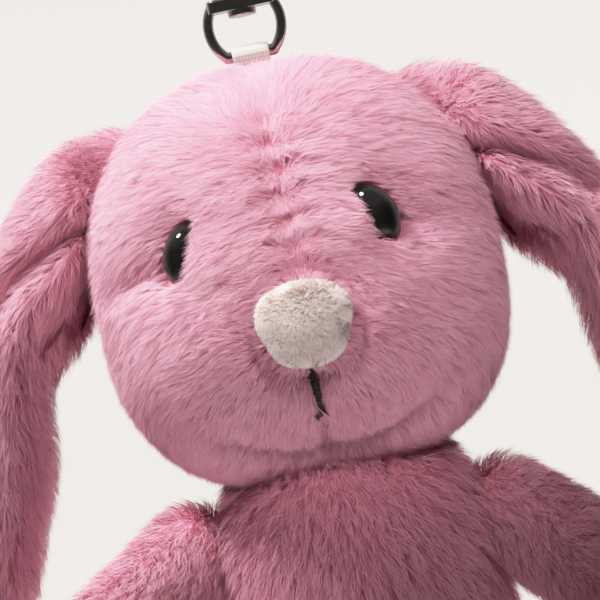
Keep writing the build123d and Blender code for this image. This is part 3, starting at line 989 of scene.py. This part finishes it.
def ear_point(station, u, front):
    """A point of the ear at a station; u runs from the outer edge, -1, to the inner edge, 1.

    The front flap bulges, ends in a rolled edge, and the inside of the back flap shows behind it.
    """
    outer, inner = station[0:2], station[2:4]
    half, fold, flap = station[4:7]
    x, z = (outer + inner) / 2 + (inner - outer) / 2 * u
    round_edge = (1 - abs(u) ** 2.6) ** (1 / 2.6)
    bulge = 3.0 * bell(u - flap + 0.6, 0.45) + 2.2 * bell(u - flap + 0.14, 0.17)
    start = flap if front else flap - 0.6
    bulge -= 2.4 * bell(u - flap + 0.42, 0.1) * smoothstep(58, 40, outer[0])
    recess = 8.0 * smoothstep(start, flap + 0.2, u)
    root = 5.5 * smoothstep(36, 27, outer[0])
    flat = (1 - fold) * 1.6 * (u * u - 0.3)
    y = EAR_ROOT[1] + root + fold * (recess - bulge * (1.0 if front else 0.5)) - flat
    return x, y + (-half if front else half) * round_edge, z


def make_ear(name, side, count):
    stations = spline_through(EAR_STATIONS, 90)
    across = np.linspace(-1, 1, 49)
    across = across * (1.5 - 0.5 * across * across)
    around = [(u, True) for u in across] + [(-u, False) for u in across[1:-1]]
    points = []
    for station in stations:
        points += [ear_point(station, u, front) for u, front in around]
    points = np.array(points)
    is_front = np.tile([front for _, front in around], len(stations))
    pushed = 3.2 * near_line(points, EAR_CREASE, 1.7) + 5.0 * near_line(points, EAR_HOLLOW, 2.4)
    points[:, 1] += is_front * pushed
    placed = to_frame(mirrored(points, side))
    mesh = mesh_from(f"{name}_ear_skin", placed, ring_faces(len(stations), len(around), closed=True))
    outward_faces(mesh)
    skin = new_object(f"{name}_ear_skin", mesh, PINK_BACKING, f"{name}_ear")
    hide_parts(f"{name}_ear_lining", f"{name}_ear_back")

    rng = np.random.default_rng(51)
    middles = (stations[:, 0:2] + stations[:, 2:4]) / 2
    along = np.gradient(middles, axis=0)
    roots, outward = scatter(skin, count, rng, side=side)
    nearest = nearest_of(rows(*middles.T, 0), rows(roots[:, 0], roots[:, 2], 0))
    forward = unit(along[nearest])
    spread = (roots[:, [0, 2]] - middles[nearest]) / 16
    flow = rows(forward[:, 0] + spread[:, 0], 0, forward[:, 1] + spread[:, 1] - 0.15)
    flow = wandering(flow, outward, 14 * waves(roots, 16, 52))
    length = 4.6 * (0.75 + 0.25 * smoothstep(-62, -50, roots[:, 2]))
    front = outward[:, 1] < 0
    length *= 1 - 0.4 * smoothstep(2, 6, roots[:, 1] - EAR_ROOT[1]) * front
    crease = near_line(roots, EAR_CREASE, 1.6) * front
    hollow = near_line(roots, EAR_HOLLOW, 2.6) * front
    length *= (1 - 0.4 * crease) * (1 - 0.65 * hollow)
    levels, shade = grow(roots, outward, flow, length, rng, lift=(54, 16))
    # Painted shade: the pile in the crease and in the hollow beside the head is made darker.
    shade += 0.12 * waves(roots, 9, 53) - 0.2 * crease - 0.5 * hollow
    levels = [mirrored(level, side) for level in levels]
    outward = mirrored(outward, side)
    parts = {f"{name}_ear_pile_front": front, f"{name}_ear_pile_back": ~front}
    cover(name, levels, outward, shade, rng, f"{name}_ear", FINE, parts=parts)


# ------------ torso and limbs

TORSO_MIDDLE = NECK + (0, 0, -8.0)
# Where each arm leaves the torso, from its joint, and how far its paw is off the CAD arm's (upwards).
ARM_ROOTS = {"left": (3.0, 3.0, 1.0), "right": (2.2, 3.0, -1.5)}
PAW_LIFTS = {"left": 5.5, "right": -4.0}


def make_torso(count):
    balls = chain(NECK + (0, 2.0, 3.0), NECK + (0, 2.5, -17.5), 22.0, 23.0)

    def wrinkle(points, normals):
        return points + normals * (0.35 * waves(points, 16, 61))[:, None]

    skin = ball_chain_skin("torso_skin", balls, "torso", smooth=8, shape=wrinkle)
    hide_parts("body_cover", "body_filling")
    rng = np.random.default_rng(62)
    roots, outward = scatter(skin, count, rng)
    flow = rows(roots[:, 0] * 0.012, 0, -1.0)
    flow[:, :2] += 0.10 * np.stack([waves(roots, 24, 63), waves(roots, 24, 64)], axis=1)
    levels, shade = grow(roots, outward, flow, 4.9, rng)
    # Painted shade: the torso's whole pile is set darker, standing for the head's shadow on it.
    shade += 0.12 * waves(roots, 9, 65) - 0.35
    parts = {"torso_pile_front": roots[:, 1] < 0, "torso_pile_back": roots[:, 1] >= 0}
    cover("torso_pile", levels, outward, shade, rng, "torso", parts=parts)


def make_limb(name, balls, lean, count, length, seed, hidden):
    """An arm or a leg: its skin, and its pile lying towards its end.

    Few strands are spent nearer the torso's middle than hidden, where they can't be seen.
    """
    skin = ball_chain_skin(f"{name}_skin", balls, name, smooth=10)
    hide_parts(f"{name}_cover", f"{name}_filling")
    rng = np.random.default_rng(seed)

    def wanted(points):
        return 0.03 + 0.97 * (lengths(points - TORSO_MIDDLE) > hidden)

    roots, outward = scatter(skin, count, rng, wanted)
    middles = np.array([middle for middle, _ in balls])
    nearest = np.argmin(((roots[:, None, :] - middles[None, :, :]) ** 2).sum(axis=2), axis=1)
    ahead = np.gradient(middles, axis=0)
    flow = unit(ahead[nearest]) + lean
    flow = wandering(flow, outward, 13 * waves(roots, 18, seed + 1))
    levels, shade = grow(roots, outward, flow, length, rng)
    shade += 0.12 * waves(roots, 9, seed + 2)
    cover(f"{name}_pile", levels, outward, shade, rng, name)


def make_limbs(count):
    for name, side in SIDES.items():
        shoulder = mirrored(SHOULDER + ARM_ROOTS[name], side)
        paw = mirrored(PAW + (0, 0, PAW_LIFTS[name]), side)
        hip, ankle, toe = mirrored([HIP, ANKLE, TOE], side)
        arm = chain(shoulder, paw, 7.6, 8.5)
        leg = chain(hip, ankle, 8.4, 8.2) + chain(ankle, toe, 8.6, 9.4, 5)
        make_limb(f"{name}_arm", arm, (0, 0, -0.45), count, 4.8, 71, 21.5)
        make_limb(f"{name}_leg", leg, (0, -0.1, -0.1), count, 4.6, 81, 20.0)


def make_tail(count):
    low, high = from_frame(node_box("tail"))
    middle = np.array([0, high[1] - 9.5, (low[2] + high[2]) / 2])
    skin = ball_chain_skin("tail_skin", [(middle, 6.4)], "torso", smooth=4, voxel=0.8)
    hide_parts("tail")
    rng = np.random.default_rng(91)
    roots, outward = scatter(skin, count, rng)
    flow = rows(roots[:, 0] * 0.05, 0.3, -0.6)
    levels, shade = grow(roots, outward, flow, 6.0, rng, lift=(70, 25), turn=(26, 14))
    cover("tail_pile", levels, outward, shade, rng, "torso")


# ------------ hardware


def make_tape():
    """The tape loop: one woven strip up, over the bar and down, with folded selvedges."""
    low, high = node_box("hang_loop")
    bar_z = node_box("swivel_eye")[0][2] + 1.0 * MM
    half_width = (high[0] - low[0]) / 2
    inner, thick = 1.07 * MM, 0.48 * MM
    drop = bar_z - low[2]
    rise = [(-0.30 * MM, -drop), (-0.32 * MM, -2.6 * MM), (-0.75 * MM, -1.5 * MM)]
    middle = inner + thick / 2
    over_bar = np.linspace(math.radians(205), math.radians(-25), 22)
    over = [(middle * math.cos(a), middle * math.sin(a)) for a in over_bar]
    path = np.array(rise + over + [(-y, z) for y, z in reversed(rise)])
    tangent = unit(np.gradient(path, axis=0))
    normal = np.stack([-tangent[:, 1], tangent[:, 0]], axis=1)
    across = np.linspace(-1, 1, 15)
    points = []
    for place, away in zip(path, normal):
        for sign in (1, -1):
            for share in across[::sign]:
                edge = 1 - 0.35 * abs(share) ** 8
                offset = place + away * sign * thick / 2 * edge
                points.append((share * half_width, offset[0], bar_z + offset[1]))
    mesh = mesh_from("tape_loop", points, ring_faces(len(path), 2 * len(across), closed=True))
    outward_faces(mesh)
    tape = new_object("tape_loop", mesh, TAPE, "head")
    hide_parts("hang_loop")


def finish_cad_nodes():
    """Materials of the CAD nodes that stay."""
    clasp = ("hook_body", "gate_lever", "gate_pin", "swivel_post", "swivel_eye")
    finishes = dict.fromkeys(clasp, CLASP)
    finishes.update(gate_spring=SPRING_STEEL, pellet_pouch=POUCH, care_label=SATIN)
    for node, material in finishes.items():
        for slot in frame["nodes"][node].material_slots:
            slot.material = material


# ------------ stage, lights and camera

FLOOR_GAP = 6 * MM
BOWL_R = 3.2
BOWL_FLAT = 2.0
BOWL_RISE = 2.2


def make_stage():
    """A pale paper floor that curves up far away on every side, so no horizon shows. It glows with
    painted light instead of being lit, and shows only to the camera.
    """
    floor_z = cad_bounds[0][2] - FLOOR_GAP
    corner = BOWL_R - BOWL_FLAT
    profile = [(0.0, 0.0), (0.3, 0.0), (1.0, 0.0), (BOWL_FLAT, 0.0)]
    for angle in np.linspace(0.15, math.pi / 2, 12):
        profile.append((BOWL_FLAT + corner * math.sin(angle), corner * (1 - math.cos(angle))))
    profile.append((BOWL_R, BOWL_RISE))
    steps = 96
    points = [(x, y, floor_z + height) for x, y, height in revolved(profile, steps)]
    mesh = mesh_from("studio_floor", points, ring_faces(len(profile), steps))
    mesh.shade_smooth()
    floor = in_scene("studio_floor", mesh)
    nodes = Nodes("studio_paper")
    # Painted light: the paper's glow is brightest at middle height and dimmer low down and high up.
    rise = nodes.remap(nodes.split(nodes.place())["Z"], From_Min=-0.35, From_Max=0.55)
    shades = [(0.0, (0.79, 0.735, 0.69)), (0.45, (0.91, 0.845, 0.795)), (1.0, (0.80, 0.735, 0.69))]
    nodes.link(nodes.ramp(rise, shades), nodes.shader, "Emission Color")
    nodes.set(Base_Color=(0.03, 0.029, 0.028, 1), Roughness=0.9, Emission_Strength=1.42)
    mesh.materials.append(nodes.material)
    floor.visible_diffuse = floor.visible_glossy = floor.visible_shadow = False


def add_light(name, kind, direction, distance, **settings):
    """A light in a direction from the head, aimed at it."""
    light = bpy.data.lights.new(name, kind)
    for key, value in settings.items():
        setattr(light, key, value)
    obj = in_scene(name, light)
    away = Vector(direction).normalized()
    obj.location = Vector(HEAD) + away * distance
    obj.rotation_mode = "QUATERNION"
    obj.rotation_quaternion = away.to_track_quat("Z", "Y")
    return obj


def make_lights():
    """A key light from the upper left, and air: dim in front, brighter above, below and behind."""
    world = bpy.context.scene.world = bpy.data.worlds.new("studio_air")
    nodes = Nodes("studio_air", world)
    way = nodes.split(nodes.place("Generated"))
    heights = [(-1.0, 3.2), (-0.88, 1.8), (-0.72, 0.25), (-0.5, 0.06)]
    heights += [(0.3, 0.03), (0.5, 0.1), (0.65, 0.2), (1.0, 0.2)]
    sides = [(-1.0, 1.4), (1.0, 0.85)]
    depths = [(-1.0, 0.0), (-0.15, 0.0), (0.15, 0.25), (0.5, 0.5), (1.0, 0.6)]
    total = nodes.add("ShaderNodeMath", operation="MULTIPLY_ADD")
    for socket, (axis, stops) in enumerate((("Z", heights), ("X", sides), ("Y", depths))):
        nodes.link(nodes.line(way[axis], stops), total, socket)
    nodes.set(Color=(1.0, 0.965, 0.94, 1))
    nodes.link(total.outputs["Value"], nodes.shader, "Strength")
    key = {"shape": "DISK", "size": 0.26, "energy": 35, "color": (1.0, 0.975, 0.955)}
    add_light("key_light", "AREA", (-0.40, -0.17, 0.90), 1.3, **key)
    # Narrow soft-edged lights that fall on the head only.
    face = {"color": (1.0, 0.97, 0.95), "shadow_soft_size": 0.05, "spot_blend": 0.5}
    face["spot_size"] = math.radians(3.9)
    powers = ("right", (0.36, -0.76, 0.54), 84), ("left", (-0.40, -0.76, 0.50), 54)
    for side, direction, power in powers:
        light = add_light(f"face_light_{side}", "SPOT", direction, 1.2, energy=power, **face)
        light.visible_glossy = False


SCALE = 6.0               # picture elements per millimetre at the head
PICTURE = 600
CAMERA_DISTANCE = 0.50
CAMERA_ROLL = math.radians(12)
AIM = (0.5, -4.8)         # the picture's middle from the head's middle, millimetres right and up


def make_camera():
    camera = bpy.data.cameras.new("camera")
    obj = bpy.context.scene.camera = in_scene("camera", camera)
    right = Vector((math.cos(CAMERA_ROLL), 0, -math.sin(CAMERA_ROLL)))
    up = Vector((math.sin(CAMERA_ROLL), 0, math.cos(CAMERA_ROLL)))
    back = Vector((0, -1, 0))
    target = Vector(HEAD) + (right * AIM[0] + up * AIM[1]) * MM
    turn = Matrix((right, up, back)).transposed()
    obj.matrix_world = Matrix.Translation(target + back * CAMERA_DISTANCE) @ turn.to_4x4()
    camera.sensor_width = 36
    camera.lens = camera.sensor_width * CAMERA_DISTANCE / (PICTURE / SCALE * MM)
    camera.clip_start, camera.clip_end = 0.01, 50


def set_tone():
    """The picture's tones: plain, with the brightest ones rolled off softly."""
    view = bpy.context.scene.view_settings
    view.view_transform = "Standard"
    view.use_curve_mapping = True
    mapping = view.curve_mapping
    brightest = 2.0
    mapping.white_level = [brightest] * 3
    mapping.use_clip = False
    line = mapping.curves[3]
    line.points[0].location = (0.0, 0.0)
    line.points[1].location = (1.0, 0.95)
    for light, shown in [(0.25, 0.25), (0.45, 0.45), (0.8, 0.70), (1.1, 0.83), (1.5, 0.91)]:
        line.points.new(light / brightest, shown)
    mapping.update()


# ------------ build

# Strands in each part's pile; FACTOR thins all but the nose's.
FACTOR = 1.0
STRANDS = {"head": 400000, "ear": 76000, "torso": 76000, "limb": 38000, "tail": 8000}
STRANDS = {part: int(count * FACTOR) for part, count in STRANDS.items()}

set_tone()
head_skin = make_head_skin()
make_head_pile(head_skin, STRANDS["head"])
make_eyes()
make_nose(52000)
make_mouth(head_skin)
for ear, ear_side in SIDES.items():
    make_ear(ear, ear_side, STRANDS["ear"])
make_torso(STRANDS["torso"])
make_limbs(STRANDS["limb"])
make_tail(STRANDS["tail"])
make_tape()
finish_cad_nodes()
make_stage()
make_lights()
make_camera()
